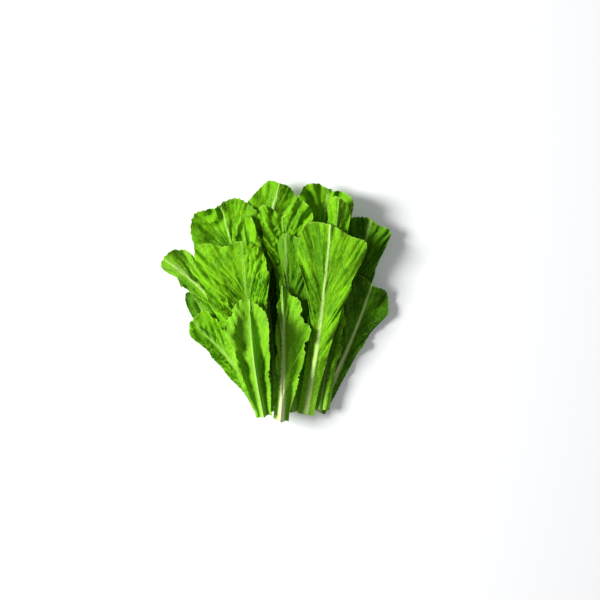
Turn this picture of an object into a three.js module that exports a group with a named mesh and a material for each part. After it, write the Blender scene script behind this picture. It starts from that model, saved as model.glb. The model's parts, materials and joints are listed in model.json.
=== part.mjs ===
// A bunch of mustard greens, cut at the stem ends and laid on a flat surface.
// Each leaf is one closed solid: a keeled petiole that runs on as the midrib of a folded, ruffled blade.
// The leaves are laid one after another, and each is lifted clear of those already lying there.
// Millimetres, +Z up. +Y runs from the cut ends towards the tips.

import * as THREE from "three";

// Driving dimensions of a leaf
const BLADE_THICKNESS = 1.2;
const PETIOLE_HALF_WIDTH = 6; // at the cut end
const PETIOLE_DEPTH = 3.2; // below the blade, at the cut end
const RIB_LEFT_AT_TIP = 0.25; // size of the midrib at the tip, as a share of the petiole
const RIB_MOST = 0.8; // of the blade's half width that the midrib takes up where the blade is narrow
const WING = 4; // narrowest strip of blade beside the petiole
const PETIOLE_SHARE = 0.06; // share of the leaf's length before the blade widens
const VEIN_SWEEP = 0.32; // how far forward a side vein runs, as a share of the leaf's length
const FLATTENING = 1.3; // exponent by which the folds flatten out where the blade is narrow
const RUFFLE_HEIGHT = 3.5; // of the waves along the margin
const RUFFLE_LENGTHS = [37, 44]; // from crest to crest, left and right
const RUFFLE_FULL = 0.6; // share of the leaf's length where the waves have reached their full height
const RUFFLE_SHIFT = 2.4; // phase from one leaf to the next, in radians

// Middle of the bunch's outline in the plan that the leaves are given in. It becomes the origin.
const MIDDLE = [1.3, 1.1];

// How leaves lie on each other
const CLEARANCE = 1.7; // between two leaves
const PRESSED = 1.5; // an underside this near the surface lies flat on it
const SAG = 0.25; // droop of an unsupported patch below the mean of its neighbours
const STEEPEST = 0.3; // slope that a leaf can be bent to by what it lies on
const SETTLING_SWEEPS = 400;

// Mesh of one leaf: rows run along the side veins, columns along the midrib
const ROWS = 14;
const RIB_COLUMNS = [0, 1]; // as shares of the midrib's half width
const RIB_PROFILE = [1, 0]; // depth of the keel at those columns
const BLADE_COLUMNS = [0.25, 0.5, 0.75, 1]; // as shares of the way from the midrib's side to the margin
const COLUMNS = RIB_COLUMNS.length - 1 + BLADE_COLUMNS.length;
const ACROSS = 2 * COLUMNS + 1;
const TIP_CROWDING = 1.6; // rows lie closer together near the tip
const NODES = (ROWS + 1) * ACROSS;
const STRIDE = 6; // coordinates of a node: its upper vertex, then its lower one

// Height field of what already lies on the surface
const CELL = 1;
const FIELD_HALF = 180;
const FIELD_CELLS = (2 * FIELD_HALF) / CELL;
const SAMPLE_STEP = 0.8;

const GREENS = {
  fresh: { color: 0x58a80f, roughness: 0.45, metalness: 0 },
  mature: { color: 0x2f6f10, roughness: 0.5, metalness: 0 },
};

// The leaves from the lowest to the topmost. base, via and tip are points of the midrib seen from above,
// arch and rise are the midrib's own height at via and tip, and half is the half width left and right.
// left and right are the heights of each half above the midrib, at four even steps from it to the margin,
// and opens is the share of them that is lost at the tip. widest is where along the leaf the blade is widest.
// spread is the exponent of its widening up to there, left and right: 1 for straight sides, more for a long
// narrow lower part. blunt closes the blade as an ellipse at 2, and more makes its end squarer.
const LEAVES = [
  {
    name: "under_centre_leaf", green: "mature",
    base: [5, -100], via: [2, -40], tip: [-6, 70], arch: 0, rise: 4,
    half: [34, 34], left: [1, 3, 5, 7], right: [1, 3, 5, 7],
    widest: 0.7, spread: [1.2, 1.2], blunt: 2.5, opens: 0.55,
  },
  {
    name: "under_left_leaf", green: "mature",
    base: [-14, -96], via: [-34, -58], tip: [-80, 14], arch: 0, rise: 4,
    half: [26, 28], left: [1, 2, 4, 6], right: [1, 2, 4, 6],
    widest: 0.7, spread: [1.2, 1.2], blunt: 2.5, opens: 0.55,
  },
  {
    name: "under_right_leaf", green: "mature",
    base: [46, -100], via: [58, -40], tip: [84, 48], arch: 0, rise: 4,
    half: [30, 26], left: [1, 2, 4, 6], right: [1, 2, 4, 6],
    widest: 0.7, spread: [1.4, 1.4], blunt: 2.5, opens: 0.55,
  },
  {
    name: "deep_centre_leaf", green: "mature",
    base: [2, -126], via: [-10, -10], tip: [-18, 88], arch: 2, rise: 6,
    half: [28, 28], left: [1, 3, 5, 6], right: [1, 3, 5, 6],
    widest: 0.72, spread: [1.2, 1.2], blunt: 2.5, opens: 0.55,
  },
  {
    name: "back_centre_leaf", green: "fresh",
    base: [-34, -6], via: [-16, 72], tip: [4, 147], arch: 4, rise: 26,
    half: [31, 29], left: [-1, -3, -6, -9], right: [-3, -8, -13, -17],
    widest: 0.66, spread: [1.3, 1.3], blunt: 2.5, opens: 0.2,
  },
  {
    name: "left_outer_leaf", green: "mature",
    base: [-26, -116], via: [-60, -58], tip: [-109, 14], arch: 2, rise: 10,
    half: [18, 26], left: [0, 0, 0, -1], right: [1, 3, 5, 6],
    widest: 0.74, spread: [1.1, 1.1], blunt: 2.5, opens: 0.55,
  },
  {
    name: "right_upper_leaf", green: "mature",
    base: [64, -100], via: [84, -20], tip: [118, 104], arch: 10, rise: 34,
    half: [28, 26], left: [2, 4, 5, 6], right: [0, 1, 1, -2],
    widest: 0.9, spread: [1.3, 1.3], blunt: 4, opens: 0.55,
  },
  {
    name: "upper_left_leaf", green: "fresh",
    base: [-23, -48], via: [-46, 36], tip: [-69, 121], arch: 4, rise: 22,
    half: [48, 46], left: [0, -1, -2, -4], right: [0, 0, -1, -3],
    widest: 0.74, spread: [1.2, 1.2], blunt: 2.6, opens: 0.1,
  },
  {
    name: "upper_right_leaf", green: "fresh",
    base: [40, -44], via: [52, 50], tip: [64, 141], arch: 4, rise: 24,
    half: [38, 33], left: [4, 10, 15, 18], right: [1, 3, 5, 6],
    widest: 0.81, spread: [1.2, 1.2], blunt: 3.6, opens: 0.3,
  },
  {
    name: "right_lower_leaf", green: "mature",
    base: [51, -136], via: [89, -57], tip: [120, 28], arch: 12, rise: 28,
    half: [30, 31], left: [4, 10, 14, 14], right: [-2, -4, -6, -8],
    widest: 0.8, spread: [2, 3], blunt: 2.5, opens: 0.55,
  },
  {
    name: "right_inner_leaf", green: "fresh",
    base: [56, -133], via: [66, -66], tip: [80, 4], arch: 3, rise: 8,
    half: [9, 10], left: [5, 5, 2, -5], right: [4, 6, 4, -2],
    widest: 0.7, spread: [1, 1], blunt: 1.8, opens: 0.2,
  },
  {
    name: "upper_right_folded_leaf", green: "fresh",
    base: [56, -58], via: [66, 26], tip: [77, 126], arch: 4, rise: 24,
    half: [16, 14], left: [-1, -3, -5, -8], right: [-5, -10, -13, -13],
    widest: 0.8, spread: [1.3, 1.3], blunt: 2.5, opens: 0.1,
  },
  {
    name: "centre_top_leaf", green: "fresh",
    base: [12, -14], via: [10, 50], tip: [8, 114], arch: 4, rise: 14,
    half: [36, 36], left: [1, 2, 3, 3], right: [1, 2, 3, 2],
    widest: 0.8, spread: [3.2, 2.2], blunt: 2.2, opens: 0.55,
  },
  {
    name: "upper_left_inner_leaf", green: "fresh",
    base: [-21, -58], via: [-30, 16], tip: [-41, 101], arch: 3, rise: 10,
    half: [18, 20], left: [-1, -2, -3, -4], right: [2, 4, 5, 6],
    widest: 0.72, spread: [1.2, 1.2], blunt: 2.5, opens: 0.55,
  },
  {
    name: "left_tip_leaf", green: "fresh", faceDown: true,
    base: [-28, -112], via: [-66, -16], tip: [-139, 53], arch: 4, rise: 18,
    half: [12, 24], left: [-1, -3, -5, -8], right: [-6, -2, -7, -10],
    widest: 0.88, spread: [1.2, 1.2], blunt: 2.6, opens: 0.1,
  },
  {
    name: "left_lower_leaf", green: "fresh",
    base: [-10, -138], via: [-50, -80], tip: [-109, -19], arch: 8, rise: 12,
    half: [15, 26], left: [0, 0, -1, -2], right: [-6, -10, -3, 5],
    widest: 0.8, spread: [0.8, 0.8], blunt: 2.5, opens: 0.2,
  },
  {
    name: "centre_leaf", green: "mature",
    base: [22, -136], via: [16, -25], tip: [11, 80], arch: 10, rise: 16,
    half: [10, 40], left: [4, 5, 2, -4], right: [-2, -4, -4, -2],
    widest: 0.8, spread: [1.3, 0.8], blunt: 3, opens: 0.1,
  },
  {
    name: "front_left_leaf", green: "fresh",
    base: [-10, -130], via: [-31, -30], tip: [-43, 74], arch: 12, rise: 20,
    half: [59, 31], left: [6, 12, 7, -4], right: [1, 3, 6, 10],
    widest: 0.85, spread: [1.2, 1.2], blunt: 3.8, opens: 0.85,
  },
  {
    name: "front_right_leaf", green: "fresh",
    base: [36, -139], via: [54, -25], tip: [66, 90], arch: 18, rise: 26,
    half: [40, 42], left: [5, 9, 11, 12], right: [0, 2, 4, 5],
    widest: 0.84, spread: [3.6, 1.9], blunt: 2.7, opens: 0.6,
  },
  {
    name: "front_left_folded_leaf", green: "fresh", faceDown: true,
    base: [-15, -140], via: [-27, -66], tip: [-32, 2], arch: 16, rise: 14,
    half: [30, 21], left: [-10, -11, 1, -6], right: [-11, -15, -5, 4],
    widest: 0.7, spread: [0.8, 0.8], blunt: 2.5, opens: 0.2,
  },
  {
    name: "front_centre_leaf", green: "fresh", faceDown: true,
    base: [5, -146], via: [9, -66], tip: [7, 20], arch: 20, rise: 22,
    half: [9, 32], left: [-2, -4, -6, -8], right: [-2, -10, -13, -4],
    widest: 0.66, spread: [1.1, 1.1], blunt: 1.3, opens: 0.2,
  },
];

const smooth = (edge0, edge1, value) => THREE.MathUtils.smoothstep(value, edge0, edge1);

// The midrib as a curve through base, via and tip.
function midribCurve({ base, via, tip, arch, rise }) {
  const start = new THREE.Vector3(...base, 0);
  const middle = new THREE.Vector3(...via, arch);
  const end = new THREE.Vector3(...tip, rise);
  const control = middle.clone().multiplyScalar(2).sub(start.clone().add(end).multiplyScalar(0.5));
  return new THREE.QuadraticBezierCurve3(start, control, end);
}

// Share of the petiole's size that is left of the midrib at a share of the leaf's length.
function ribTaper(share) {
  return THREE.MathUtils.lerp(1, RIB_LEFT_AT_TIP, Math.sqrt(share));
}

// Half width of the blade seen from above: it widens from the petiole, then closes towards a blunt tip.
function bladeHalfWidth({ half, spread, widest, blunt }, which, share) {
  const narrow = Math.min(PETIOLE_HALF_WIDTH + WING, half[which]);
  const way = THREE.MathUtils.clamp((share - PETIOLE_SHARE) / (widest - PETIOLE_SHARE), 0, 1);
  const past = Math.max(0, (share - widest) / (1 - widest));
  const closing = Math.max(0, 1 - past ** blunt) ** (1 / blunt);
  return THREE.MathUtils.lerp(narrow, half[which], way ** spread[which]) * closing;
}

// Height of a half leaf above its midrib: a smooth curve through its heights, way being 0 on the midrib
// and 1 on the margin.
function sectionHeight(heights, way) {
  const knots = [0, ...heights];
  const last = knots.length - 1;
  const slopeAt = (knot) => {
    const before = Math.max(knot - 1, 0);
    const after = Math.min(knot + 1, last);
    return (knots[after] - knots[before]) / (after - before);
  };
  const place = THREE.MathUtils.clamp(way, 0, 1) * last;
  const knot = Math.min(Math.floor(place), last - 1);
  const t = place - knot;
  const height = THREE.MathUtils.lerp(knots[knot], knots[knot + 1], t * t * (3 - 2 * t));
  return height + slopeAt(knot) * t * (1 - t) ** 2 - slopeAt(knot + 1) * t * t * (1 - t);
}

// Height of the margin's waves, counted from the tip so that both sides meet there.
function ruffle(leaf, margin, outward, which) {
  const fromTip = (1 - margin) * leaf.length;
  const wave = Math.sin((2 * Math.PI * fromTip) / RUFFLE_LENGTHS[which] + leaf.phase);
  return RUFFLE_HEIGHT * wave * outward * outward * smooth(PETIOLE_SHARE, RUFFLE_FULL, margin);
}

// Where a row meets the margin, and the midrib, as shares of the leaf's length. Side veins sweep forward.
function rowShares(row, widest) {
  const margin = 1 - (1 - row / ROWS) ** TIP_CROWDING;
  return { margin, midrib: margin - VEIN_SWEEP * smooth(PETIOLE_SHARE, widest, margin) };
}

// Distance of a column from the midrib, and the depth of the keel there.
function columnPlace(column, halfWidth, share) {
  const rib = Math.min(PETIOLE_HALF_WIDTH * ribTaper(share), RIB_MOST * halfWidth);
  const depth = PETIOLE_DEPTH * ribTaper(share);
  if (column < RIB_COLUMNS.length) {
    return { distance: rib * RIB_COLUMNS[column], keel: depth * RIB_PROFILE[column] };
  }
  const outward = BLADE_COLUMNS[column - RIB_COLUMNS.length];
  return { distance: THREE.MathUtils.lerp(rib, halfWidth, outward), keel: 0 };
}

// One point of the leaf's middle surface, with the surface's normal and the midrib's upward direction.
function surfacePoint(leaf, curve, { share, outward, halfWidth, side, wave }) {
  const along = curve.getTangentAt(share);
  const right = new THREE.Vector3(along.y, -along.x, 0).normalize();
  const up = right.clone().cross(along);
  const heights = side < 0 ? leaf.left : leaf.right;
  const half = side < 0 ? leaf.half[0] : leaf.half[1];
  const size = (1 - leaf.opens * share * share) * (halfWidth / half) ** FLATTENING;
  const step = 0.01;
  const climb = sectionHeight(heights, outward + step) - sectionHeight(heights, outward - step);
  const tilt = outward > 0 ? Math.atan((climb * size) / (2 * step * Math.max(halfWidth, 1))) : 0;
  const normal = up.clone().multiplyScalar(Math.cos(tilt)).addScaledVector(right, -side * Math.sin(tilt));
  const point = curve.getPointAt(share)
    .addScaledVector(right, side * outward * halfWidth)
    .addScaledVector(up, sectionHeight(heights, outward) * size)
    .addScaledVector(normal, wave);
  return { point, normal, up };
}

// Both halves share the midrib, and at the tip they share the whole last row.
function nodeAt(row, column) {
  return row * ACROSS + COLUMNS + (row === ROWS ? Math.abs(column) : column);
}

// Upper and lower vertex of every node of the leaf, before it is laid down.
function leafVertices(spec, index) {
  const curve = midribCurve(spec);
  const leaf = { ...spec, length: curve.getLength(), phase: index * RUFFLE_SHIFT };
  const vertices = new Float32Array(NODES * STRIDE);
  for (let row = 0; row <= ROWS; row++) {
    const shares = rowShares(row, leaf.widest);
    for (let column = -COLUMNS; column <= COLUMNS; column++) {
      const side = Math.sign(column);
      const which = side < 0 ? 0 : 1;
      const halfWidth = bladeHalfWidth(leaf, which, shares.margin);
      const { distance, keel } = columnPlace(Math.abs(column), halfWidth, shares.midrib);
      const outward = halfWidth > 0 ? distance / halfWidth : Math.abs(column) / COLUMNS;
      const share = THREE.MathUtils.lerp(shares.midrib, shares.margin, outward);
      const wave = ruffle(leaf, shares.margin, outward, which);
      const place = { share, outward, halfWidth, side, wave };
      const { point, normal, up } = surfacePoint(leaf, curve, place);
      const upper = point.clone().addScaledVector(normal, BLADE_THICKNESS / 2);
      const lower = point.clone().addScaledVector(normal, -BLADE_THICKNESS / 2);
      if (leaf.faceDown) upper.addScaledVector(up, keel);
      else lower.addScaledVector(up, -keel);
      const node = nodeAt(row, column);
      upper.toArray(vertices, STRIDE * node);
      lower.toArray(vertices, STRIDE * node + 3);
    }
  }
  return vertices;
}

// Triangles of the closed leaf: upper and lower faces, the two margins and the cut end.
function leafTriangles() {
  const upper = (row, column) => 2 * nodeAt(row, column);
  const lower = (row, column) => upper(row, column) + 1;
  const triangles = [];
  const quad = (a, b, c, d) => triangles.push(a, b, c, a, c, d);
  for (let row = 0; row < ROWS; row++) {
    for (let column = -COLUMNS; column < COLUMNS; column++) {
      const corners = [[row, column], [row, column + 1], [row + 1, column + 1], [row + 1, column]];
      const [first, ...others] = corners;
      quad(...corners.map((corner) => upper(...corner)));
      quad(...[first, ...others.reverse()].map((corner) => lower(...corner)));
    }
    quad(lower(row, COLUMNS), lower(row + 1, COLUMNS), upper(row + 1, COLUMNS), upper(row, COLUMNS));
    quad(upper(row, -COLUMNS), upper(row + 1, -COLUMNS), lower(row + 1, -COLUMNS), lower(row, -COLUMNS));
  }
  for (let column = -COLUMNS; column < COLUMNS; column++) {
    quad(lower(0, column), lower(0, column + 1), upper(0, column + 1), upper(0, column));
  }
  return triangles;
}

// Calls visit with points spread over each triangle, and the triangle's three vertices.
function sampleTriangles(vertices, triangles, visit) {
  const corners = [new THREE.Vector3(), new THREE.Vector3(), new THREE.Vector3()];
  const point = new THREE.Vector3();
  for (let first = 0; first < triangles.length; first += 3) {
    const indices = triangles.slice(first, first + 3);
    corners.forEach((corner, i) => corner.fromArray(vertices, 3 * indices[i]));
    const [a, b, c] = corners;
    const steps = Math.ceil(Math.max(a.distanceTo(b), b.distanceTo(c), c.distanceTo(a)) / SAMPLE_STEP);
    for (let i = 0; i <= steps; i++) {
      for (let j = 0; j <= steps - i; j++) {
        const weights = [i / steps, j / steps, (steps - i - j) / steps];
        point.set(0, 0, 0);
        corners.forEach((corner, k) => point.addScaledVector(corner, weights[k]));
        visit(point, indices);
      }
    }
  }
}

const fieldCell = (value) => Math.floor((value + FIELD_HALF) / CELL);

// Highest surface within one cell of a point.
function heightUnder(field, x, y) {
  let highest = -Infinity;
  for (let i = -1; i <= 1; i++) {
    for (let j = -1; j <= 1; j++) {
      const index = (fieldCell(y) + j) * FIELD_CELLS + fieldCell(x) + i;
      highest = Math.max(highest, field[index]);
    }
  }
  return highest;
}

// Nodes beside each node, along the row and along the column.
function nodeNeighbours() {
  const neighbours = new Map();
  for (let row = 0; row <= ROWS; row++) {
    for (let column = -COLUMNS; column <= COLUMNS; column++) {
      const beside = [[row - 1, column], [row + 1, column], [row, column - 1], [row, column + 1]]
        .filter(([r, c]) => r >= 0 && r <= ROWS && Math.abs(c) <= COLUMNS)
        .map(([r, c]) => nodeAt(r, c));
      const node = nodeAt(row, column);
      neighbours.set(node, [...(neighbours.get(node) ?? []), ...beside]);
    }
  }
  return neighbours;
}

// Lift of every node that holds the leaf above the field: it rests where it must, sags in between and is
// nowhere bent too steeply.
function restingLift(vertices, triangles, neighbours, field) {
  const needed = new Float64Array(NODES).fill(-Infinity);
  sampleTriangles(vertices, triangles, (point, indices) => {
    const lift = heightUnder(field, point.x, point.y) + CLEARANCE - point.z;
    for (const index of indices) {
      const node = index >> 1;
      needed[node] = Math.max(needed[node], lift);
    }
  });
  const offset = (a, b, axis) => vertices[STRIDE * a + axis] - vertices[STRIDE * b + axis];
  const planDistance = (a, b) => Math.hypot(offset(a, b, 0), offset(a, b, 1));
  const lift = needed.slice();
  for (let sweep = 0; sweep < SETTLING_SWEEPS; sweep++) {
    for (const [node, beside] of neighbours) {
      const mean = beside.reduce((sum, other) => sum + lift[other], 0) / beside.length;
      const held = beside.map((other) => lift[other] - STEEPEST * planDistance(node, other));
      lift[node] = Math.max(needed[node], mean - SAG, ...held);
    }
  }
  return lift;
}

// Lays a leaf on the field, presses its lowest patches flat and adds it to the field.
function layDown(vertices, triangles, neighbours, field) {
  const lift = restingLift(vertices, triangles, neighbours, field);
  for (const node of neighbours.keys()) {
    const upperZ = STRIDE * node + 2;
    const lowerZ = STRIDE * node + 5;
    vertices[upperZ] += lift[node];
    vertices[lowerZ] += lift[node];
    if (vertices[lowerZ] < PRESSED) vertices[lowerZ] = 0;
  }
  sampleTriangles(vertices, triangles, ({ x, y, z }) => {
    const index = fieldCell(y) * FIELD_CELLS + fieldCell(x);
    field[index] = Math.max(field[index], z);
  });
}

function buildBunch() {
  const bunch = new THREE.Group();
  const field = new Float32Array(FIELD_CELLS * FIELD_CELLS).fill(-CLEARANCE);
  const triangles = leafTriangles();
  const neighbours = nodeNeighbours();
  for (const [index, leaf] of LEAVES.entries()) {
    const vertices = leafVertices(leaf, index);
    layDown(vertices, triangles, neighbours, field);
    const geometry = new THREE.BufferGeometry();
    geometry.setAttribute("position", new THREE.BufferAttribute(vertices, 3));
    geometry.setIndex(triangles);
    geometry.translate(-MIDDLE[0], -MIDDLE[1], 0);
    geometry.computeVertexNormals();
    const mesh = new THREE.Mesh(geometry, new THREE.MeshStandardMaterial(GREENS[leaf.green]));
    mesh.name = leaf.name;
    bunch.add(mesh);
  }
  return bunch;
}

export default buildBunch();
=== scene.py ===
"""Looks of a bunch of mustard greens: veined, ruffled leaves that lie on each other on a pale floor.

Every leaf is worked out as a thin sheet over a grid, laid on the leaves below it and closed into a solid.
A grid has a row for every side vein, from the cut end to the tip, and its columns run from the left margin
over the midrib to the right margin. Lengths are in millimetres until a mesh is made.
"""

import json
import math
from typing import NamedTuple

import bpy
import numpy as np
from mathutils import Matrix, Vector


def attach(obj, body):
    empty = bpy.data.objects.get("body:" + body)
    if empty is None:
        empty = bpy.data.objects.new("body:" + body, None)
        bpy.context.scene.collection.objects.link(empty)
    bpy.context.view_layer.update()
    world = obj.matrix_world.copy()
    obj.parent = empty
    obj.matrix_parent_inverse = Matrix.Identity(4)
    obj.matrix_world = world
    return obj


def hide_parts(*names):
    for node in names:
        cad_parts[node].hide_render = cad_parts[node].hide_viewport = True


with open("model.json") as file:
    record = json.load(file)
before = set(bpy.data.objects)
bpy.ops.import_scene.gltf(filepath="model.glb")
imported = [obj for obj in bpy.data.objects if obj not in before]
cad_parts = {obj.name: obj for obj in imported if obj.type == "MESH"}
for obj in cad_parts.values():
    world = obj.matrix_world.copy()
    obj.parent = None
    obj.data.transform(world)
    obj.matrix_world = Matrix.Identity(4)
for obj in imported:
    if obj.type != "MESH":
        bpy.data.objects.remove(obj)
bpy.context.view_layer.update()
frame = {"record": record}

MM = 0.001
TINY = 1e-9

# Shape of a leaf
BLADE_THICKNESS = 0.7  # beside the midrib
EDGE_THICKNESS = 0.4
PETIOLE_HALF_WIDTH = 6  # at the cut end
PETIOLE_DEPTH = 3.2  # below the blade, at the cut end
PETIOLE_CROWN = 2.0  # above the blade, at the cut end
RIB_LEFT_AT_TIP = 0.25  # size of the midrib at the tip, as a share of the petiole
RIB_MOST = 0.8  # of the blade's half width that the midrib takes up where the blade is narrow
WING = 4  # narrowest strip of blade beside the petiole
LEAST_WIDTH = 0.1  # half width that the tip's last row counts as
LEAST_DIVISOR = 1  # smallest half width or vein length that a slope or a tooth is divided by
PETIOLE_SHARE = 0.06  # share of the leaf's length before the blade widens
VEIN_SWEEP = 0.32  # how far forward a side vein runs, as a share of the leaf's length
VEIN_PITCH = 14  # from side vein to side vein along the margin
FLATTENING = 1.3  # exponent by which the folds flatten out where the blade is narrow
SLOPE_STEP = 0.01  # way on each side of a point over which a fold's slope is taken

# Relief of the blade. A range is where a kind of relief sets in, as shares of the leaf's length.
RUFFLE_HEIGHT = 3.5  # of the waves along the margin
RUFFLE_LENGTHS = (37, 44)  # from crest to crest, left and right
RUFFLE_FULL = 0.6  # share of the leaf's length where the waves have reached their full height
RUFFLE_SHIFT = 2.4  # phase from one leaf to the next, in radians
FRILL_HEIGHT = 0.8  # of the small waves on the margin, as a share of the crumples' height
FRILL_LENGTH = 17
FRILL_UNEVENNESS = 1.3  # in radians
PLEAT_RANGE = (0.3, 0.85)
PLEAT_LEAST = 0.5  # share of a pleat's height outside the patches where pleats are strong
PLEAT_MORE = 0.7  # share that is added inside them
PATCH_LENGTH = 50
PATCH_RANGE = (-0.8, 1.2)  # of the waves that make the patches
CREASE_RANGE = (0.25, 0.7)
CREASE_HEIGHT = 0.7
CREASE_WIDTH = 20  # from crease to crease along the margin
CREASE_STRETCH = 4  # how many times longer than wide a crease is
CRUMPLE_RANGE = (0.1, 0.4)
CRUMPLE_LENGTH = 11
RIDGE_BASE = 0.6  # taken off the height of ridges, so that they rise and fall about evenly
RIB_RANGE = (0.06, 0.3)  # way from the midrib to the margin over which relief sets in
WOBBLE_LENGTH = 60  # of the slow waves that bend side veins and pleats
WOBBLE_BEND = 0.45  # by how many veins or pleats they do so
WAVE_COUNT = 14
WAVE_LENGTHS = (0.7, 1.5)  # range of the mixed waves' lengths, as shares of the length asked for
FIRST_SEED = 100

# Margin of the blade
LOBE_LENGTH = 45
TOOTH_DEPTH = 2.0
TOOTH_PITCH = 6.5
TOOTH_RANGE = (PETIOLE_SHARE, 0.25)
TOOTH_WOBBLE_LENGTH = 9 * TOOTH_PITCH
TOOTH_UNEVENNESS = 0.35  # of the pitch
TOOTH_LONG_SIDE = 0.7  # share of the pitch
TOOTH_MEAN = 0.65  # share of the depth
TOOTH_VARIATION = 0.3  # share of the depth

# How leaves lie on each other
MIDDLE = np.array([1.3, 1.1, 0])  # of the bunch's outline, in the plan that the leaves are given in
CLEARANCE = 0.4  # between two leaves
SAG = 0.25  # droop of an unsupported patch below the mean of its neighbours
STEEPEST = 0.3  # slope that a leaf can be bent to by what it lies on
SETTLING_SWEEPS = 800
LATTICE_ROWS = 14
LATTICE_COLUMNS = 4  # on each side of the midrib
CELL = 1  # of the height field of what already lies there
FIELD_HALF = 190
STEPS_BETWEEN = (2, 4)  # blends from row to row and from column to column, so that no cell is missed

# Grid of one leaf
ROWS = 200
COLUMNS = 18  # on each side of the midrib
TIP_CROWDING = 2.0  # rows lie closer together near the tip
RIB_CROWDING = 1.3  # columns lie closer together near the midrib
SHARP_ANGLE = 60  # degrees between faces that are shaded apart

# Leaf tissue. Scales are per metre and colours are 8-bit sRGB.
FRESH_GREENS = ((66, 130, 4), (118, 186, 14))
MATURE_GREENS = ((44, 90, 4), (84, 148, 8))
UNDERSIDE_GREEN = (128, 190, 50)
NET_GREEN = (130, 195, 20)
VEIN_GREEN = (166, 218, 72)
EDGE_GREEN = (176, 220, 80)
STALK_GREEN = (140, 200, 50)
RIB_GREENS = ((160, 210, 80), (205, 236, 140))
RIB_WHITE = (232, 246, 180)
PATCH_SCALE = 28.0
MOTTLE_SCALE = 190.0
MOTTLE_DETAIL = 4.0
NET_SCALE = 150.0
NET_WIDTH = 0.09  # of a cell
NOISE_RANGE = (0.3, 0.7)  # where most of the noise lies
FINE_VARIATION = 0.2  # of lightness, by mottle and by streaks
STREAKS_AROUND = 0.28  # per millimetre along the margin
STREAKS_OUTWARD = 0.05  # per millimetre from the midrib to the margin
TONE_AND_PAINTED_LIGHT_WEIGHT = 0.35  # of the leaf's tone in the lightness; that tone is partly painted light and painted shade
LIGHTNESS_RANGE = (-0.1, 1.1)
VEIN_WIDTHS = (0.055, 0.0175)  # at the midrib and at the margin, as shares of the pitch
EDGE_RANGE = (0.97, 1.0)  # way from the midrib to the margin over which the edge turns pale
STALK_RANGE = (0.3, 0.0)  # shares of the leaf's length over which the blade turns towards the stalk's green
RIB_FADE = (0.3, 1.1)  # shares of the midrib's half width over which its colour fades
RIB_LEAST = 0.3  # share of its colour that the greenest midrib has
RIB_FULL_PALE = 0.8  # how pale a midrib is that has its full colour
WHITE_RANGE = (0.5, 0.1)  # shares of the leaf's length over which the palest midribs turn white
WHITE_PALE_RANGE = (0.85, 1.0)  # how pale those are
ROUGHNESS_RANGE = (0.45, 0.6)
BUMP_STRENGTH = 0.6
BUMP_HEIGHT = 1.6
SPECULAR = 0.08

# Floor and light. Places and sizes are in metres, and powers in watts.
FLOOR_SIZE = 12
FLOOR_GREYS = ((0.88, 0.88, 0.885, 1), (0.9, 0.9, 0.905, 1))
FLOOR_GRAIN_SCALE = 300.0
FLOOR_ROUGHNESS = 0.9
FLOOR_GLOW = (0.95, 0.97, 1, 1)
FLOOR_GLOW_STRENGTH = 0.12
SKY_COLOUR = (0.97, 0.985, 1, 1)
SKY_STRENGTH = 0.23
KEY_PLACE = (-2.42, 0.3, 1.88)
KEY_SIZE = 1.1
KEY_POWER = 154

# Camera straight above the bunch
PIXEL = 1.235  # width of one pixel of the photograph, at PLAN_HEIGHT
FRAME_PIXELS = 600
PLAN_PIXEL = (276.5, 302.5)  # where the origin of the leaves' plan is in the photograph
PLAN_HEIGHT = 30  # above the floor, about half the height of the bunch
LENS = 85
SENSOR = 36


class Leaf(NamedTuple):
    name: str
    base: tuple  # base, via and tip are points of the midrib seen from above
    via: tuple
    tip: tuple
    arch: float  # height of the midrib at via
    rise: float  # height of the midrib at the tip
    half: tuple  # half width of the blade, left and right
    left: tuple  # heights of the left half above the midrib, at four even steps from it to the margin
    right: tuple
    widest: float  # where along the leaf the blade is widest
    spread: tuple  # exponent of the blade's widening up to there, left and right
    blunt: float = 2.5  # closes the blade as an ellipse at 2, and more makes its end squarer
    opens: float = 0.55  # share of the heights that is lost at the tip
    pleat: float = 2.0  # height of the folds that run out to the margin
    pleat_length: float = 22  # from fold to fold along the margin
    pleat_shift: float = 0.0  # in folds
    crumple: float = 0.7  # height of the crumples
    ragged: float = 0.08  # of the margin's lobes, as a share of the half width
    tone: float = 0.0  # above 0 is lighter, below 0 darker: partly the leaf's own tone, partly painted light on leaves that lie in shade and painted shade on leaves deep in the bunch
    pale: float = 0.3  # how pale the midrib is, up to 1 for one with a white stalk
    face_down: bool = False  # whether the midrib's keel is on top


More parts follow.
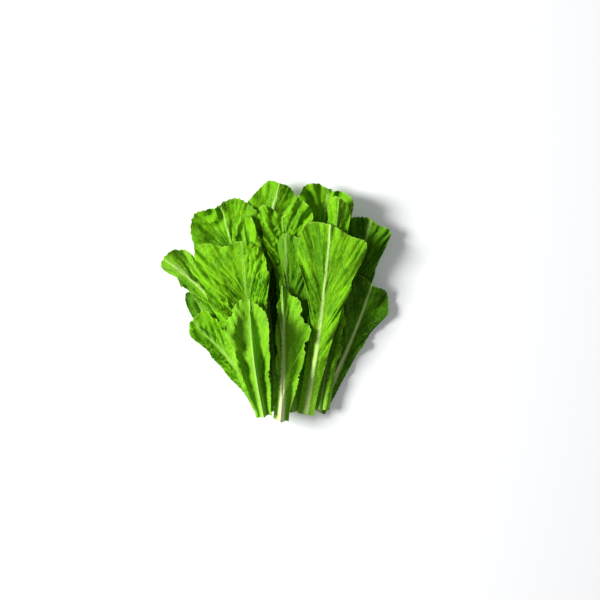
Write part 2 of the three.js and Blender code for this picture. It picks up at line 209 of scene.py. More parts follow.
# The leaves from the lowest to the topmost.
LEAVES = [
    Leaf(
        "under_centre_leaf", base=(5, -100), via=(2, -40), tip=(-6, 70), arch=0, rise=4,
        half=(34, 34), left=(1, 3, 5, 7), right=(1, 3, 5, 7),
        widest=0.7, spread=(1.2, 1.2),
        # painted shade: this low leaf is darkened for the shade that falls down between the leaves above it
        tone=-1.2,
    ),
    Leaf(
        "under_left_leaf", base=(-14, -96), via=(-34, -58), tip=(-80, 14), arch=0, rise=4,
        half=(26, 28), left=(1, 2, 4, 6), right=(1, 2, 4, 6),
        widest=0.7, spread=(1.2, 1.2),
        tone=-0.4,
    ),
    Leaf(
        "under_right_leaf", base=(46, -100), via=(58, -40), tip=(84, 48), arch=0, rise=4,
        half=(30, 26), left=(1, 2, 4, 6), right=(1, 2, 4, 6),
        widest=0.7, spread=(1.4, 1.4),
        tone=-0.5,
    ),
    Leaf(
        "deep_centre_leaf", base=(2, -126), via=(-10, -10), tip=(-18, 88), arch=2, rise=6,
        half=(28, 28), left=(1, 3, 5, 6), right=(1, 3, 5, 6),
        widest=0.72, spread=(1.2, 1.2),
        # painted shade: this deep leaf is darkened for the shade in the gap between the left and right
        # leaves
        tone=-1.6,
    ),
    Leaf(
        "back_centre_leaf", base=(-34, -6), via=(-16, 72), tip=(4, 147), arch=4, rise=26,
        half=(31, 29), left=(-1, -3, -6, -9), right=(-3, -8, -13, -17),
        widest=0.66, spread=(1.3, 1.3), opens=0.2,
        pleat=1.0, crumple=0.6, ragged=0.03, tone=0.6, pale=0.8,
    ),
    Leaf(
        "left_outer_leaf", base=(-26, -116), via=(-60, -58), tip=(-109, 14), arch=2, rise=10,
        half=(18, 26), left=(0, 0, 0, -1), right=(1, 3, 5, 6),
        widest=0.74, spread=(1.1, 1.1),
        tone=-0.2,
    ),
    Leaf(
        "right_upper_leaf", base=(64, -100), via=(84, -20), tip=(118, 104), arch=10, rise=34,
        half=(28, 26), left=(2, 4, 5, 6), right=(0, 1, 1, -2),
        widest=0.9, spread=(1.3, 1.3), blunt=4,
        # painted light: this leaf is lightened against the shadow that the higher leaves beside it cast on
        # it
        pleat=2.0, pleat_length=15, ragged=0.04, tone=0.9,
    ),
    Leaf(
        "upper_left_leaf", base=(-23, -48), via=(-46, 36), tip=(-69, 121), arch=4, rise=22,
        half=(48, 46), left=(0, -1, -2, -4), right=(0, 0, -1, -3),
        widest=0.74, spread=(1.2, 1.2), blunt=2.6, opens=0.1,
        pleat=3.6, pleat_length=52, pleat_shift=0.3, crumple=0.5, ragged=0.03, tone=0.1,
    ),
    Leaf(
        "upper_right_leaf", base=(40, -44), via=(52, 50), tip=(64, 141), arch=4, rise=24,
        half=(38, 33), left=(4, 10, 15, 18), right=(1, 3, 5, 6),
        widest=0.81, spread=(1.2, 1.2), blunt=3.6, opens=0.3,
        pleat=3.5, pleat_length=26, ragged=0.04,
    ),
    Leaf(
        "right_lower_leaf", base=(51, -136), via=(89, -57), tip=(120, 28), arch=12, rise=28,
        half=(30, 31), left=(4, 10, 14, 14), right=(-2, -4, -6, -8),
        widest=0.8, spread=(2.0, 3.0),
        pleat=1.0, ragged=0.05, tone=-1.0, pale=1.0,
    ),
    Leaf(
        "right_inner_leaf", base=(56, -133), via=(66, -66), tip=(80, 4), arch=3, rise=8,
        half=(9, 10), left=(5, 5, 2, -5), right=(4, 6, 4, -2),
        widest=0.7, spread=(1.0, 1.0), blunt=1.8, opens=0.2,
        pleat=0.6, tone=0.3,
    ),
    Leaf(
        "upper_right_folded_leaf", base=(56, -58), via=(66, 26), tip=(77, 126), arch=4, rise=24,
        half=(16, 14), left=(-1, -3, -5, -8), right=(-5, -10, -13, -13),
        widest=0.8, spread=(1.3, 1.3), opens=0.1,
        pleat=1.0, crumple=0.6, tone=0.4, pale=0.1,
    ),
    Leaf(
        "centre_top_leaf", base=(12, -14), via=(10, 50), tip=(8, 114), arch=4, rise=14,
        half=(36, 36), left=(1, 2, 3, 3), right=(1, 2, 3, 2),
        widest=0.8, spread=(3.2, 2.2), blunt=2.2,
        pleat=2.5, pleat_length=17, crumple=1.5, ragged=0.2, tone=0.6, pale=0.1,
    ),
    Leaf(
        "upper_left_inner_leaf", base=(-21, -58), via=(-30, 16), tip=(-41, 101), arch=3, rise=10,
        half=(18, 20), left=(-1, -2, -3, -4), right=(2, 4, 5, 6),
        widest=0.72, spread=(1.2, 1.2),
        pleat=3.0, ragged=0.15, tone=0.4, pale=0.1,
    ),
    Leaf(
        "left_tip_leaf", base=(-28, -112), via=(-66, -16), tip=(-139, 53), arch=4, rise=18,
        half=(12, 24), left=(-1, -3, -5, -8), right=(-6, -2, -7, -10),
        widest=0.88, spread=(1.2, 1.2), blunt=2.6, opens=0.1, face_down=True,
        pleat=3.2, pleat_length=26, pleat_shift=0.5, crumple=0.6, ragged=0.05, tone=0.2, pale=0.6,
    ),
    Leaf(
        "left_lower_leaf", base=(-10, -138), via=(-50, -80), tip=(-109, -19), arch=8, rise=12,
        half=(15, 26), left=(0, 0, -1, -2), right=(-6, -10, -3, 5),
        widest=0.8, spread=(0.8, 0.8), opens=0.2,
        crumple=1.1, tone=0.3,
    ),
    Leaf(
        "centre_leaf", base=(22, -136), via=(16, -25), tip=(11, 80), arch=10, rise=16,
        half=(10, 40), left=(4, 5, 2, -4), right=(-2, -4, -4, -2),
        widest=0.8, spread=(1.3, 0.8), blunt=3, opens=0.1,
        # painted light: this leaf is lightened against the shadow that the front left leaf casts on it
        pleat=1.0, crumple=0.5, ragged=0.05, tone=0.9,
    ),
    Leaf(
        "front_left_leaf", base=(-10, -130), via=(-31, -30), tip=(-43, 74), arch=12, rise=20,
        half=(59, 31), left=(6, 12, 7, -4), right=(1, 3, 6, 10),
        widest=0.85, spread=(1.2, 1.2), blunt=3.8, opens=0.85,
        pleat=1.0, pleat_length=20, crumple=1.6, ragged=0.08, tone=0.9, pale=0.1,
    ),
    Leaf(
        "front_right_leaf", base=(36, -139), via=(54, -25), tip=(66, 90), arch=18, rise=26,
        half=(40, 42), left=(5, 9, 11, 12), right=(0, 2, 4, 5),
        widest=0.84, spread=(3.6, 1.9), blunt=2.7, opens=0.6,
        pleat=0.8, pleat_length=24, crumple=0.5, ragged=0.08, tone=0.6, pale=0.7,
    ),
    Leaf(
        "front_left_folded_leaf", base=(-15, -140), via=(-27, -66), tip=(-32, 2), arch=16, rise=14,
        half=(30, 21), left=(-10, -11, 1, -6), right=(-11, -15, -5, 4),
        widest=0.7, spread=(0.8, 0.8), opens=0.2, face_down=True,
        pleat=0.6, crumple=0.6, ragged=0.04, tone=0.6,
    ),
    Leaf(
        "front_centre_leaf", base=(5, -146), via=(9, -66), tip=(7, 20), arch=20, rise=22,
        half=(9, 32), left=(-2, -4, -6, -8), right=(-2, -10, -13, -4),
        widest=0.66, spread=(1.1, 1.1), blunt=1.3, opens=0.2, face_down=True,
        pleat=1.2, ragged=0.05, tone=0.8, pale=1.0,
    ),
]


def smooth(edge0, edge1, value):
    """0 below edge0, 1 above edge1, and a smooth step between them."""
    way = np.clip((value - edge0) / (edge1 - edge0), 0, 1)
    return way * way * (3 - 2 * way)


def unit(vectors):
    return vectors / np.maximum(np.linalg.norm(vectors, axis=-1, keepdims=True), TINY)


class Midrib:
    """Curve through a leaf's base, via and tip, read by the share of its length. It runs on past the tip."""

    PAST_TIP = 1.08
    SAMPLES = 600

    def __init__(self, leaf):
        start = np.array([*leaf.base, 0.0])
        middle = np.array([*leaf.via, leaf.arch])
        end = np.array([*leaf.tip, leaf.rise])
        control = 2 * middle - (start + end) / 2
        t = np.linspace(0, self.PAST_TIP, self.SAMPLES)[:, None]
        self.points = (1 - t) ** 2 * start + 2 * t * (1 - t) * control + t**2 * end
        self.tangents = unit((1 - t) * (control - start) + t * (end - control))
        steps = np.linalg.norm(np.diff(self.points, axis=0), axis=1)
        travelled = np.concatenate([[0], np.cumsum(steps)])
        self.length = np.interp(1, t[:, 0], travelled)
        self.shares = travelled / self.length

    def read(self, values, share):
        return np.stack([np.interp(share, self.shares, values[:, axis]) for axis in range(3)], axis=-1)


def blade_half_width(leaf, margin, half, spread):
    """Half width of the blade: it widens from the petiole, then closes towards a blunt tip."""
    narrow = np.minimum(PETIOLE_HALF_WIDTH + WING, half)
    way = np.clip((margin - PETIOLE_SHARE) / (leaf.widest - PETIOLE_SHARE), 0, 1)
    past = np.clip((margin - leaf.widest) / (1 - leaf.widest), 0, 1)
    closing = np.maximum(0, 1 - past**leaf.blunt) ** (1 / leaf.blunt)
    return (narrow + (half - narrow) * way**spread) * closing


def margin_way(margin, half_width, length):
    """Way along the margin from the base to every row."""
    steps = np.hypot(np.diff(half_width), np.diff(margin * length))
    return np.concatenate([[0], np.cumsum(steps)])


class Grid:
    """Where the points of a leaf's grid lie on its blade."""

    def __init__(self, leaf, length):
        row = np.arange(ROWS + 1) / ROWS
        column = np.arange(-COLUMNS, COLUMNS + 1)
        self.length = length
        self.side = np.sign(column)[None, :]
        self.which = (column >= 0).astype(int)
        self.margin = (1 - (1 - row) ** TIP_CROWDING)[:, None]
        self.start = self.margin - VEIN_SWEEP * smooth(PETIOLE_SHARE, leaf.widest, self.margin)
        self.half = self.by_half(leaf.half)
        self.half_width = blade_half_width(leaf, self.margin, self.half, self.by_half(leaf.spread))
        self.outward = (np.abs(column) / COLUMNS)[None, :] ** RIB_CROWDING + 0 * self.margin
        self.grown = smooth(PETIOLE_SHARE, RUFFLE_FULL, self.margin)
        margins = [margin_way(self.margin[:, 0], self.half_width[:, end], length) for end in (0, -1)]
        ways = np.stack(margins, axis=1)
        self.from_tip = (ways[-1] - ways)[:, self.which]

    def by_half(self, pair):
        """The pair's first value in the columns of the left half, and its second value in the others."""
        return np.array(pair, float)[self.which][None, :]


def waves(rng, across, along, length):
    """Sum of plane waves about one length long, in random directions. Its standard deviation is 1."""
    total = np.zeros_like(along)
    for _ in range(WAVE_COUNT):
        turn = rng.uniform(0, 2 * math.pi)
        number = 2 * math.pi / (length * rng.uniform(*WAVE_LENGTHS))
        phase = rng.uniform(0, 2 * math.pi)
        total += np.sin(number * (across * math.cos(turn) + along * math.sin(turn)) + phase)
    return total * math.sqrt(2 / WAVE_COUNT)


def ridges(rng, across, along, length):
    """Waves whose lower half is turned up, which leaves sharp valleys."""
    return np.abs(waves(rng, across, along, length)) - RIDGE_BASE


def margin_teeth(rng, from_tip):
    """Depth of the margin's teeth, by the way along the margin from the tip."""
    wobble = waves(rng, 0 * from_tip, from_tip, TOOTH_WOBBLE_LENGTH)
    saw = (from_tip / TOOTH_PITCH + TOOTH_UNEVENNESS * wobble) % 1
    shape = np.where(saw < TOOTH_LONG_SIDE, saw / TOOTH_LONG_SIDE, (1 - saw) / (1 - TOOTH_LONG_SIDE))
    return TOOTH_DEPTH * (TOOTH_MEAN + TOOTH_VARIATION * np.clip(wobble, -1, 1)) * shape


def leaf_reach(leaf, grid, rng):
    """Way of every point from the midrib, where 1 is an even outline that lobes and teeth cross."""
    vein_length = np.hypot(grid.half_width, (grid.margin - grid.start) * grid.length)
    along = grid.margin * grid.length + 0 * grid.half_width
    lobe = leaf.ragged * waves(rng, grid.side * grid.half_width, along, LOBE_LENGTH) * grid.grown
    tooth = margin_teeth(rng, grid.from_tip) * smooth(*TOOTH_RANGE, grid.margin)
    tooth /= np.maximum(vein_length, LEAST_DIVISOR)
    return grid.outward * (1 + lobe * grid.outward**2 + tooth * grid.outward**5)


def section_height(heights, way):
    """Height of a half leaf above its midrib: a smooth curve through heights at even steps of the way."""
    knots = np.array([0, *heights], float)
    slopes = np.gradient(knots)
    last = len(knots) - 1
    place = np.clip(way, 0, 1) * last
    k = np.minimum(place.astype(int), last - 1)
    t = place - k
    rise = knots[k] * (1 + 2 * t) * (1 - t) ** 2 + knots[k + 1] * t**2 * (3 - 2 * t)
    return rise + slopes[k] * t * (1 - t) ** 2 - slopes[k + 1] * t**2 * (1 - t)


def leaf_fold(leaf, grid, reach, share):
    """Height of the folded blade above its midrib, and the angle by which it is tilted there."""
    opening = 1 - leaf.opens * np.clip(share, 0, 1) ** 2
    size = (grid.half_width / grid.half) ** FLATTENING

    def height(way):
        left = section_height(leaf.left, way)
        right = section_height(leaf.right, way)
        return np.where(grid.which == 0, left, right) * opening

    climb = (height(reach + SLOPE_STEP) - height(reach - SLOPE_STEP)) / (2 * SLOPE_STEP)
    tilt = np.arctan(climb * size / np.maximum(grid.half_width, LEAST_DIVISOR)) * np.abs(grid.side)
    return height(reach) * size, tilt


def leaf_relief(leaf, index, grid, rng, across, along):
    """Height of waves, pleats, creases and crumples over the folded blade, and the count of side veins."""
    wobble = waves(rng, across, along, WOBBLE_LENGTH)
    bend = WOBBLE_BEND * wobble * grid.outward
    vein = grid.from_tip / VEIN_PITCH + bend
    fold = grid.from_tip / leaf.pleat_length + bend + leaf.pleat_shift
    ruffle_number = 2 * math.pi / grid.by_half(RUFFLE_LENGTHS)
    ruffle = np.sin(ruffle_number * (1 - grid.margin) * grid.length + index * RUFFLE_SHIFT)
    frill = np.sin(2 * math.pi * grid.from_tip / FRILL_LENGTH + FRILL_UNEVENNESS * wobble)
    crumple = ridges(rng, across, along, CRUMPLE_LENGTH)
    crease_along = grid.outward * grid.half / CREASE_STRETCH
    crease = ridges(rng, grid.side * grid.from_tip, crease_along, CREASE_WIDTH)
    patch = smooth(*PATCH_RANGE, waves(rng, across, along, PATCH_LENGTH))
    pleat = -np.cos(2 * math.pi * fold) * (PLEAT_LEAST + PLEAT_MORE * patch)

    off_rib = smooth(*RIB_RANGE, grid.outward)
    lift = RUFFLE_HEIGHT * ruffle * grid.outward**2 * grid.grown
    lift += FRILL_HEIGHT * leaf.crumple * frill * grid.outward**3 * grid.grown
    lift += leaf.pleat * pleat * grid.outward * off_rib * smooth(*PLEAT_RANGE, grid.margin)
    lift += CREASE_HEIGHT * crease * off_rib * smooth(*CREASE_RANGE, grid.margin)
    lift += leaf.crumple * crumple * off_rib * smooth(*CRUMPLE_RANGE, grid.margin)
    return lift, vein


def leaf_sheet(leaf, index):
    """Middle surface of a leaf before it is laid down, with what its solid and its material need."""
    rng = np.random.default_rng(FIRST_SEED + index)
    midrib = Midrib(leaf)
    grid = Grid(leaf, midrib.length)
    reach = leaf_reach(leaf, grid, rng)
    share = grid.start + (grid.margin - grid.start) * reach
    distance = reach * grid.half_width
    across = grid.side * distance

    tangent = midrib.read(midrib.tangents, share)
    right = unit(np.stack([tangent[..., 1], -tangent[..., 0], 0 * share], axis=-1))
    up = np.cross(right, tangent)
    rise, tilt = leaf_fold(leaf, grid, reach, share)
    normal = up * np.cos(tilt)[..., None] - right * (grid.side * np.sin(tilt))[..., None]
    lift, vein = leaf_relief(leaf, index, grid, rng, across, share * midrib.length)
    points = midrib.read(midrib.points, share)
    points += right * across[..., None] + up * rise[..., None] + normal * lift[..., None]

    taper = 1 + (RIB_LEFT_AT_TIP - 1) * np.sqrt(np.clip(grid.start, 0, 1))
    rib = np.minimum(PETIOLE_HALF_WIDTH * taper, RIB_MOST * np.maximum(grid.half_width, LEAST_WIDTH))
    from_rib = np.where(grid.half_width > 2 * LEAST_WIDTH, distance / rib, 0)
    profile = np.maximum(0, 1 - np.minimum(from_rib, 1) ** 2)
    depth = PETIOLE_DEPTH * taper * profile
    crown = PETIOLE_CROWN * taper * profile

    # Both halves share the last row
    for values in (points, vein):
        values[-1] = (values[-1] + values[-1][::-1]) / 2
    return {
        "points": points,
        "up": up,
        "keel": crown if leaf.face_down else depth,
        "crown": depth if leaf.face_down else crown,
        "thickness": BLADE_THICKNESS + (EDGE_THICKNESS - BLADE_THICKNESS) * grid.outward**2,
        "vein": vein,
        "outward": grid.outward,
        "share": np.clip(share, 0, 1),
        "fan": grid.outward * grid.half,
        "around": grid.side * grid.from_tip,
        "from_rib": from_rib,
    }


def highest_nearby(field):
    """Highest value of the field within one cell of each cell."""
    padded = np.pad(field, 1, mode="edge")
    rows, columns = field.shape
    shifted = [padded[i:i + rows, j:j + columns] for i in range(3) for j in range(3)]
    return np.max(shifted, axis=0)


def field_cells(points):
    return tuple(np.floor((points[..., axis] + FIELD_HALF) / CELL).astype(int) for axis in (1, 0))


def denser(values):
    """The grid's values with blends between neighbours, so close that no cell of the field is missed."""
    for axis, steps in enumerate(STEPS_BETWEEN):
        lines = np.moveaxis(values, axis, 0)
        blends = [lines[:-1] + (lines[1:] - lines[:-1]) * step / steps for step in range(steps)]
        values = np.moveaxis(np.concatenate([*blends, lines[-1:]]), 0, axis)
    return values


def neighbour_sum(lattice):
    """Sum of the values before, after, left and right of each place of the lattice."""
    padded = np.pad(lattice, 1)
    return padded[:-2, 1:-1] + padded[2:, 1:-1] + padded[1:-1, :-2] + padded[1:-1, 2:]


def settle(needed, places):
    """Lift of the lattice that is nowhere below what is needed, sags between and is nowhere too steep."""
    lift = needed.copy()
    neighbours = neighbour_sum(np.ones_like(lift))
    drop_along = STEEPEST * np.linalg.norm(np.diff(places, axis=0), axis=-1)
    drop_across = STEEPEST * np.linalg.norm(np.diff(places, axis=1), axis=-1)
    for _ in range(SETTLING_SWEEPS):
        lift = np.maximum(needed, neighbour_sum(lift) / neighbours - SAG)
        lift[1:] = np.maximum(lift[1:], lift[:-1] - drop_along)
        lift[:-1] = np.maximum(lift[:-1], lift[1:] - drop_along)
        lift[:, 1:] = np.maximum(lift[:, 1:], lift[:, :-1] - drop_across)
        lift[:, :-1] = np.maximum(lift[:, :-1], lift[:, 1:] - drop_across)
        lift[-1] = np.maximum(lift[-1], lift[-1][::-1])
    return lift


def spread_out(lattice):
    """Lattice values on the leaf's grid, blended smoothly from one lattice point to the next."""
    across = np.linspace(0, 2 * LATTICE_COLUMNS, 2 * COLUMNS + 1)
    along = np.linspace(0, LATTICE_ROWS, ROWS + 1)
    places = np.arange(2 * LATTICE_COLUMNS + 1)
    wide = np.stack([np.interp(across, places, line) for line in lattice])
    places = np.arange(LATTICE_ROWS + 1)
    grid = np.stack([np.interp(along, places, line) for line in wide.T], axis=1)
    for axis, reach in ((0, ROWS // LATTICE_ROWS), (1, COLUMNS // LATTICE_COLUMNS)):
        kernel = np.hanning(2 * reach + 1)
        kernel /= kernel.sum()
        edges = [(reach, reach) if a == axis else (0, 0) for a in (0, 1)]
        padded = np.pad(grid, edges, mode="edge")
        grid = np.apply_along_axis(np.convolve, axis, padded, kernel, mode="valid")
    return grid


def lay_down(sheet, field):
    """Lifts a leaf clear of what lies in the field, then adds it to the field."""
    points = sheet["points"]
    lowest = points[..., 2] - sheet["keel"] - sheet["thickness"] / 2
    along = np.linspace(0, LATTICE_ROWS, ROWS + 1)[:, None] + 0 * lowest
    across = np.linspace(0, 2 * LATTICE_COLUMNS, 2 * COLUMNS + 1)[None, :] + 0 * lowest
    underside = denser(np.dstack([points[..., :2], lowest, along, across]))
    needed = highest_nearby(field)[field_cells(underside)] + CLEARANCE - underside[..., 2]

    lattice = np.full((LATTICE_ROWS + 1, 2 * LATTICE_COLUMNS + 1), -np.inf)
    for rounded_along in (np.floor, np.ceil):
        for rounded_across in (np.floor, np.ceil):
            row = rounded_along(underside[..., 3]).astype(int)
            column = rounded_across(underside[..., 4]).astype(int)
            np.maximum.at(lattice, (row, column), needed)
    lattice[-1] = np.maximum(lattice[-1], lattice[-1][::-1])
    lattice_rows = np.linspace(0, ROWS, LATTICE_ROWS + 1).astype(int)
    lattice_columns = np.linspace(0, 2 * COLUMNS, 2 * LATTICE_COLUMNS + 1).astype(int)
    places = points[np.ix_(lattice_rows, lattice_columns)][..., :2]

    points[..., 2] += spread_out(settle(lattice, places))
    highest = points[..., 2] + sheet["crown"] + sheet["thickness"] / 2
    upside = denser(np.dstack([points[..., :2], highest]))
    np.maximum.at(field, field_cells(upside), upside[..., 2])


def sheet_normals(points):
    normals = unit(np.cross(np.gradient(points, axis=1), np.gradient(points, axis=0)))
    normals[-1] = unit(normals[-2] + normals[-2][::-1])
    return normals


def leaf_faces():
    """Quads of the closed leaf: upper and lower faces, the two margins and the cut end."""
    rows = ROWS + 1
    wide = 2 * COLUMNS + 1
    upper = np.arange(rows * wide).reshape(rows, wide)
    upper[-1, :COLUMNS] = upper[-1, :COLUMNS:-1]
    lower = upper + rows * wide

    def strips(a, b, c, d):
        return np.stack([a, b, c, d], axis=-1).reshape(-1, 4)

    return np.concatenate([
        strips(upper[:-1, :-1], upper[:-1, 1:], upper[1:, 1:], upper[1:, :-1]),
        strips(lower[1:, :-1], lower[1:, 1:], lower[:-1, 1:], lower[:-1, :-1]),
        strips(lower[:-1, -1], lower[1:, -1], upper[1:, -1], upper[:-1, -1]),
        strips(upper[:-1, 0], upper[1:, 0], lower[1:, 0], lower[:-1, 0]),
        strips(lower[0, :-1], lower[0, 1:], upper[0, 1:], upper[0, :-1]),
    ])


def leaf_object(leaf, sheet, faces, material):
    """Closed mesh of a laid leaf, with the values that its material reads stored at its points."""
    normals = sheet_normals(sheet["points"])
    half = (sheet["thickness"] / 2)[..., None]
    upper = sheet["points"] + normals * half + sheet["up"] * sheet["crown"][..., None]
    lower = sheet["points"] - normals * half - sheet["up"] * sheet["keel"][..., None]
    points = np.concatenate([upper.reshape(-1, 3), lower.reshape(-1, 3)]) - MIDDLE
    points[:, 2] = np.maximum(points[:, 2], 0)
    used, numbers = np.unique(faces, return_inverse=True)
    mesh = bpy.data.meshes.new(leaf.name + "_look")
    mesh.from_pydata(points[used] * MM, [], numbers.reshape(-1, 4).tolist())

    on_both_faces = ("vein", "outward", "share", "from_rib", "fan", "around")
    values = {name: np.tile(sheet[name].ravel(), 2) for name in on_both_faces}
    below = np.repeat([0.0, 1.0], sheet["share"].size)
    values["under"] = 1 - below if leaf.face_down else below
    values["tone"] = np.full(below.size, leaf.tone)
    values["pale"] = np.full(below.size, leaf.pale)
    for name, value in values.items():
        attribute = mesh.attributes.new("leaf_" + name, "FLOAT", "POINT")
        attribute.data.foreach_set("value", value[used].astype(np.float32))

    mesh.shade_smooth()
    mesh.set_sharp_from_angle(angle=math.radians(SHARP_ANGLE))
    mesh.validate()
    piece = bpy.data.objects.new(leaf.name + "_look", mesh)
    bpy.context.scene.collection.objects.link(piece)
    mesh.materials.append(material)
    return piece


class Nodes:
    """Short ways to add shader nodes to a material and link them."""

    def __init__(self, name):
        self.material = bpy.data.materials.new(name)
        self.material.use_nodes = True
        self.tree = self.material.node_tree
        self.shader = self.tree.nodes["Principled BSDF"]

    def put(self, socket, value):
        if isinstance(value, bpy.types.NodeSocket):
            self.tree.links.new(value, socket)
        else:
            socket.default_value = value

    def surface(self, name, value):
        self.put(self.shader.inputs[name], value)

    def value(self, name):
        node = self.tree.nodes.new("ShaderNodeAttribute")
        node.attribute_name = "leaf_" + name
        return node.outputs["Fac"]

    def math(self, operation, first, second):
        node = self.tree.nodes.new("ShaderNodeMath")
        node.operation = operation
        self.put(node.inputs[0], first)
        self.put(node.inputs[1], second)
        return node.outputs[0]

    def add(self, first, second):
        return self.math("ADD", first, second)

    def times(self, first, second):
        return self.math("MULTIPLY", first, second)

    def step(self, value, start, end, low=0.0, high=1.0):
        """Smooth step from low where the value is at start to high where it is at end."""
        node = self.tree.nodes.new("ShaderNodeMapRange")
        node.interpolation_type = "SMOOTHSTEP"
        names = ("Value", "From Min", "From Max", "To Min", "To Max")
        for name, given in zip(names, (value, start, end, low, high)):
            self.put(node.inputs[name], given)
        return node.outputs["Result"]

    def mix(self, share, first, second):
        node = self.tree.nodes.new("ShaderNodeMix")
        node.data_type = "RGBA"
        sockets = [socket for socket in node.inputs if socket.enabled]
        for socket, given in zip(sockets, (share, first, second)):
            self.put(socket, given)
        return next(socket for socket in node.outputs if socket.enabled)

    def place(self):
        return self.tree.nodes.new("ShaderNodeTexCoord").outputs["Object"]

    def vector(self, across, along):
        node = self.tree.nodes.new("ShaderNodeCombineXYZ")
        self.put(node.inputs["X"], across)
        self.put(node.inputs["Y"], along)
        return node.outputs["Vector"]

    def noise(self, vector, scale, detail=3.0):
        node = self.tree.nodes.new("ShaderNodeTexNoise")
        self.put(node.inputs["Vector"], vector)
        node.inputs["Scale"].default_value = scale
        node.inputs["Detail"].default_value = detail
        return node.outputs["Fac"]

    def cell_edges(self, vector, scale):
        node = self.tree.nodes.new("ShaderNodeTexVoronoi")
        node.feature = "DISTANCE_TO_EDGE"
        self.put(node.inputs["Vector"], vector)
        node.inputs["Scale"].default_value = scale
        return node.outputs["Distance"]

    def bump(self, height, strength, distance):
        node = self.tree.nodes.new("ShaderNodeBump")
        node.inputs["Strength"].default_value = strength
        node.inputs["Distance"].default_value = distance
        self.put(node.inputs["Height"], height)
        return node.outputs["Normal"]


def colour(srgb):
    """Linear colour of an 8-bit sRGB one."""
    parts = np.array(srgb) / 255
    linear = np.where(parts <= 0.04045, parts / 12.92, ((parts + 0.055) / 1.055) ** 2.4)
    return (*linear.tolist(), 1.0)


def rib_colour(nodes, share, pale):
    """Colour of the midrib, by how pale it is. The palest are white towards the cut end."""
    white = nodes.times(nodes.step(share, *WHITE_RANGE), nodes.step(pale, *WHITE_PALE_RANGE))
    green = nodes.mix(pale, *map(colour, RIB_GREENS))
    return nodes.mix(white, green, colour(RIB_WHITE))


def leaf_material(name, greens):
    """Leaf tissue: two greens in soft patches, pale midrib and veins, a net of fine veins, a faint gloss."""
    nodes = Nodes(name)
    place = nodes.place()
    outward = nodes.value("outward")
    share = nodes.value("share")
    pale = nodes.value("pale")

    # Lightness of the tissue, from random patches, mottle and streaks and from the leaf's tone, which is
    # partly painted light and painted shade
    patches = nodes.noise(place, PATCH_SCALE)
    mottle = nodes.noise(place, MOTTLE_SCALE, MOTTLE_DETAIL)
    around = nodes.times(nodes.value("around"), STREAKS_AROUND)
    streaks = nodes.noise(nodes.vector(around, nodes.times(nodes.value("fan"), STREAKS_OUTWARD)), 1.0)
    lightness = nodes.add(nodes.step(patches, *NOISE_RANGE), nodes.times(nodes.value("tone"), TONE_AND_PAINTED_LIGHT_WEIGHT))
    for fine in (mottle, streaks):
        lightness = nodes.add(lightness, nodes.step(fine, *NOISE_RANGE, -FINE_VARIATION, FINE_VARIATION))
    tissue = nodes.mix(nodes.step(lightness, *LIGHTNESS_RANGE), *map(colour, greens))

    # Where veins, net, midrib and edge are
    vein_gap = nodes.math("PINGPONG", nodes.value("vein"), 0.5)
    side_vein = nodes.step(vein_gap, 0.0, nodes.step(outward, 0.0, 1.0, *VEIN_WIDTHS), 1.0, 0.0)
    net = nodes.step(nodes.cell_edges(place, NET_SCALE), 0.0, NET_WIDTH, 1.0, 0.0)
    edge = nodes.step(outward, *EDGE_RANGE)
    stalk = nodes.step(share, *STALK_RANGE)
    rib = nodes.step(nodes.value("from_rib"), *RIB_FADE, 1.0, 0.0)
    rib = nodes.times(rib, nodes.step(pale, 0.0, RIB_FULL_PALE, RIB_LEAST, 1.0))

    layers = (
        (nodes.value("under"), 0.3, UNDERSIDE_GREEN),
        (net, 0.22, NET_GREEN),
        (side_vein, 0.6, VEIN_GREEN),
        (edge, 0.3, EDGE_GREEN),
        (stalk, 0.4, STALK_GREEN),
    )
    for where, weight, green in layers:
        tissue = nodes.mix(nodes.times(where, weight), tissue, colour(green))
    nodes.surface("Base Color", nodes.mix(rib, tissue, rib_colour(nodes, share, pale)))

    height = nodes.times(side_vein, -0.6)
    for relief, weight in ((net, -0.35), (mottle, 1.1), (streaks, 0.5)):
        height = nodes.add(height, nodes.times(relief, weight))
    nodes.surface("Normal", nodes.bump(height, BUMP_STRENGTH, BUMP_HEIGHT * MM))
    nodes.surface("Roughness", nodes.step(mottle, *NOISE_RANGE, *ROUGHNESS_RANGE))
    nodes.surface("Specular IOR Level", SPECULAR)
    return nodes.material


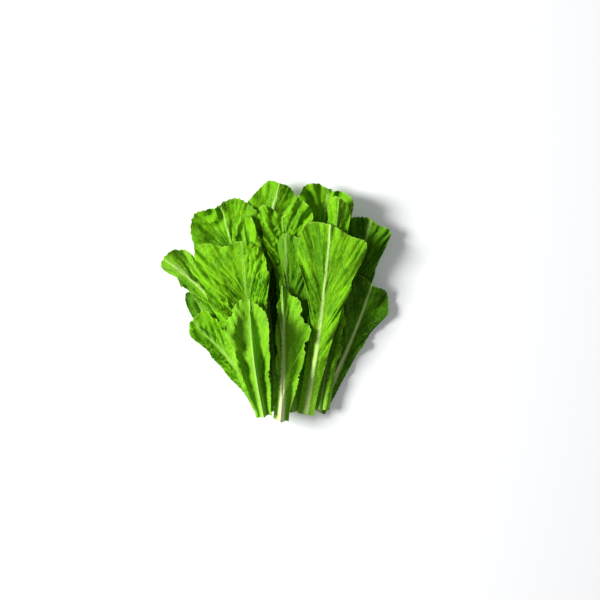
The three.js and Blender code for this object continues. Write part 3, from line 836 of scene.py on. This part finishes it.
def floor_material():
    nodes = Nodes("floor")
    nodes.surface("Base Color", nodes.mix(nodes.noise(nodes.place(), FLOOR_GRAIN_SCALE), *FLOOR_GREYS))
    nodes.surface("Roughness", FLOOR_ROUGHNESS)
    nodes.surface("Emission Color", FLOOR_GLOW)
    nodes.surface("Emission Strength", FLOOR_GLOW_STRENGTH)
    return nodes.material


def add_floor():
    bpy.ops.mesh.primitive_plane_add(size=FLOOR_SIZE)
    floor = bpy.context.object
    floor.name = "floor"
    floor.data.materials.append(floor_material())


def add_key_light():
    """Square soft light from the left, which faces the bunch."""
    data = bpy.data.lights.new("key", "AREA")
    data.size = KEY_SIZE
    data.energy = KEY_POWER
    light = bpy.data.objects.new("key", data)
    light.location = KEY_PLACE
    light.rotation_euler = (-Vector(KEY_PLACE)).to_track_quat("-Z", "Y").to_euler()
    bpy.context.scene.collection.objects.link(light)


def add_world():
    world = bpy.data.worlds.new("studio")
    world.use_nodes = True
    background = world.node_tree.nodes["Background"]
    background.inputs["Color"].default_value = SKY_COLOUR
    background.inputs["Strength"].default_value = SKY_STRENGTH
    bpy.context.scene.world = world


def add_camera():
    data = bpy.data.cameras.new("camera")
    data.lens = LENS
    data.sensor_width = SENSOR
    camera = bpy.data.objects.new("camera", data)
    right = (FRAME_PIXELS / 2 - PLAN_PIXEL[0]) * PIXEL
    up = (PLAN_PIXEL[1] - FRAME_PIXELS / 2) * PIXEL
    distance = FRAME_PIXELS * PIXEL * LENS / SENSOR
    camera.location = (np.array([right, up, distance + PLAN_HEIGHT]) - MIDDLE) * MM
    bpy.context.scene.collection.objects.link(camera)
    bpy.context.scene.camera = camera


add_camera()
add_floor()
add_world()
add_key_light()
bpy.context.scene.view_settings.view_transform = "Standard"

materials = {
    "fresh_leaf": leaf_material("fresh_leaf_tissue", FRESH_GREENS),
    "mature_leaf": leaf_material("mature_leaf_tissue", MATURE_GREENS),
}
slots = {part["node"]: part["material_slot"] for part in frame["record"]["subparts"]}
cells = int(2 * FIELD_HALF / CELL)
field = np.full((cells, cells), -float(CLEARANCE))
faces = leaf_faces()
for index, leaf in enumerate(LEAVES):
    sheet = leaf_sheet(leaf, index)
    lay_down(sheet, field)
    piece = leaf_object(leaf, sheet, faces, materials[slots[leaf.name]])
    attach(piece, "root")
    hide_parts(leaf.name)
